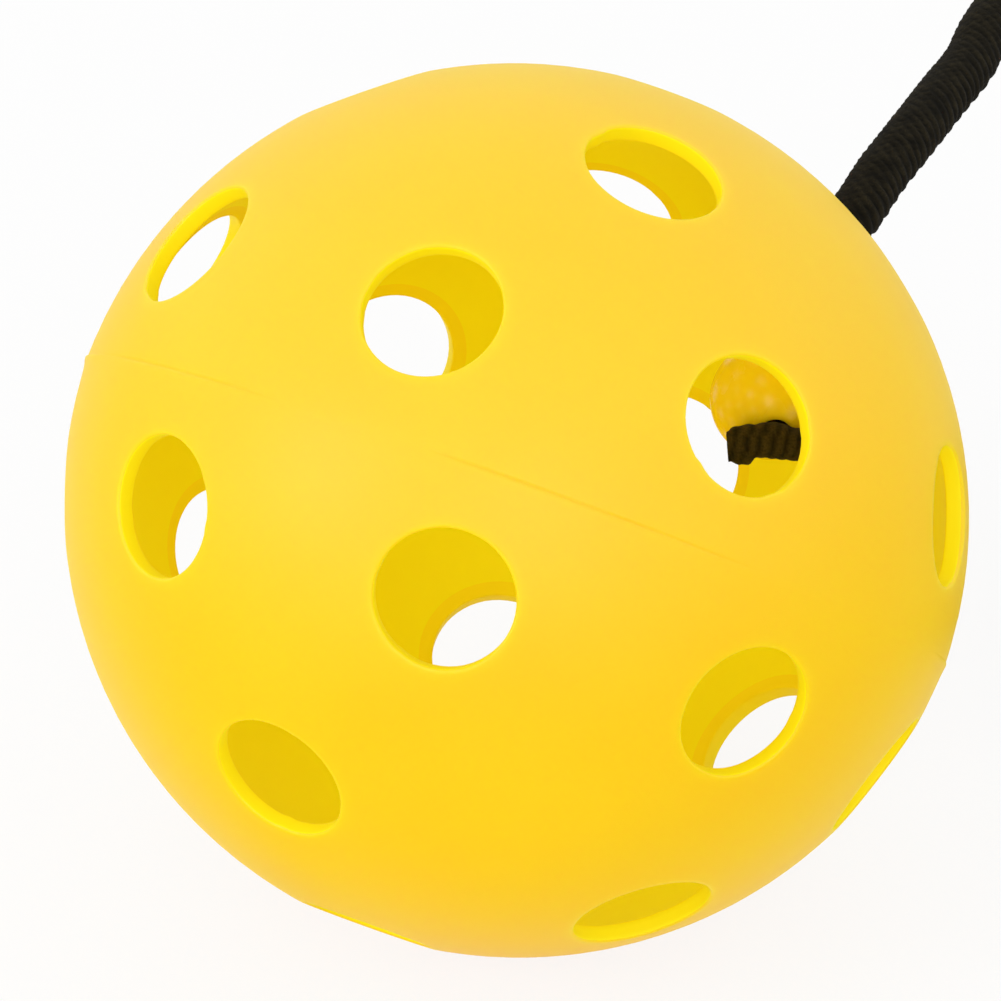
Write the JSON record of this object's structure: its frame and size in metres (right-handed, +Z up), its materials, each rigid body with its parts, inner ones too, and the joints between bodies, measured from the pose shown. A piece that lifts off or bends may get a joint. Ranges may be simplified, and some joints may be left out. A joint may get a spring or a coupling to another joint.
{
  "type": "tethered perforated ball",
  "caption": "Yellow 26-hole perforated ball of two welded halves on a black knotted cord, with an orange stopper bead inside.",
  "frame": {"origin": "on the floor, under the centre of the ball, which stands on the rim of one vent hole", "axes": "+Z up, +X to the right and +Y away from the viewer; the cord leaves the ball to the back right"},
  "size_m": [0.1391, 0.1138, 0.0705],
  "materials": {
    "ball_plastic": "satin",
    "bead_plastic": "gloss",
    "cord_textile": "matte",
    "tie_textile": "matte"
  },
  "bodies": {
    "tether": {"cord_inner": "cord_textile", "inner_knot": "cord_textile", "cord_run": "cord_textile", "cord_coil": "cord_textile", "coil_tie": "tie_textile", "end_knot": "cord_textile"},
    "ball": {"upper_shell": "ball_plastic", "lower_shell": "ball_plastic"},
    "bead": {"stopper_bead": "bead_plastic"}
  },
  "joints": [
    {"name": "ball_swivel", "type": "hinge", "parent": "tether", "child": "ball", "pos_m": [-0.00024, -0.00037, 0.03448], "axis": [0.6564, 0.7215, 0.2205], "continuous": true},
    {"name": "bead_slide", "type": "slide", "parent": "tether", "child": "bead", "axis": [-0.052, 0.9932, 0.1045], "range_m": [0, 0.0035]}
  ]
}
